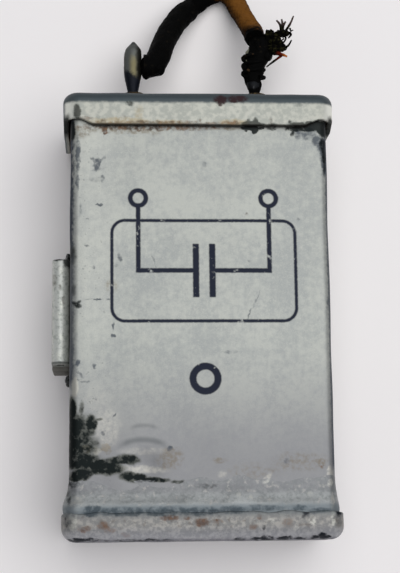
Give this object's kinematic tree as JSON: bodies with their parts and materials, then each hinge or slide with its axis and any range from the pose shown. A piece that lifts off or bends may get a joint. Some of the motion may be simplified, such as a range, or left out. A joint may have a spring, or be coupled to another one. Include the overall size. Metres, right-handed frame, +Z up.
{
  "type": "paper capacitor",
  "caption": "Sealed flat tin-plate can capacitor with drawn end caps, a folded hook on one side, riveted solder lugs and a short cotton-covered jumper lead.",
  "frame": {"origin": "On the ground, under the middle of the box round the can, its hook and its lugs; the lead is not counted.", "axes": "+Z up out of the broad front face as the can lies on its back, +Y up the can towards the lugs, +X to the right with the hook on the left."},
  "size_m": [0.035, 0.0754, 0.0177],
  "materials": {
    "tin_plate": "dull, stained tin plate",
    "solder": "dull tin-lead solder",
    "lug_metal": "tarnished tinned brass",
    "rivet_brass": "plain brass",
    "red_fibre": "matt vulcanised fibre",
    "foil": "soft bright foil",
    "wound_paper": "waxed paper and foil, wound and pressed",
    "press_board": "matt pressed board",
    "kraft_paper": "matt waxed paper",
    "black_pitch": "smooth black pitch",
    "lead_cotton": "varnished cotton braid, dark to golden brown",
    "tinned_copper": "darkened tinned wire"
  },
  "bodies": {
    "root": {"can_body": "tin_plate", "top_lid": "tin_plate", "bottom_cap": "tin_plate", "bottom_solder_fillet": "solder", "mounting_hook": "tin_plate", "hook_solder_upper": "solder", "hook_solder_lower": "solder", "left_terminal_bush": "red_fibre", "right_terminal_bush": "red_fibre", "left_terminal_lug": "lug_metal", "right_terminal_lug": "lug_metal", "left_terminal_rivet": "rivet_brass", "right_terminal_rivet": "rivet_brass", "left_inner_washer": "red_fibre", "right_inner_washer": "red_fibre", "left_foil_tab": "foil", "right_foil_tab": "foil", "foil_winding": "wound_paper", "winding_core": "press_board", "winding_wrap": "kraft_paper", "can_liner": "kraft_paper", "bottom_pad": "press_board", "top_pad": "press_board", "pitch_seal": "black_pitch", "left_solder_joint": "solder", "right_solder_joint": "solder", "jumper_lead": "lead_cotton", "right_lead_wrap": "tinned_copper", "frayed_braid": "lead_cotton"}
  },
  "joints": []
}
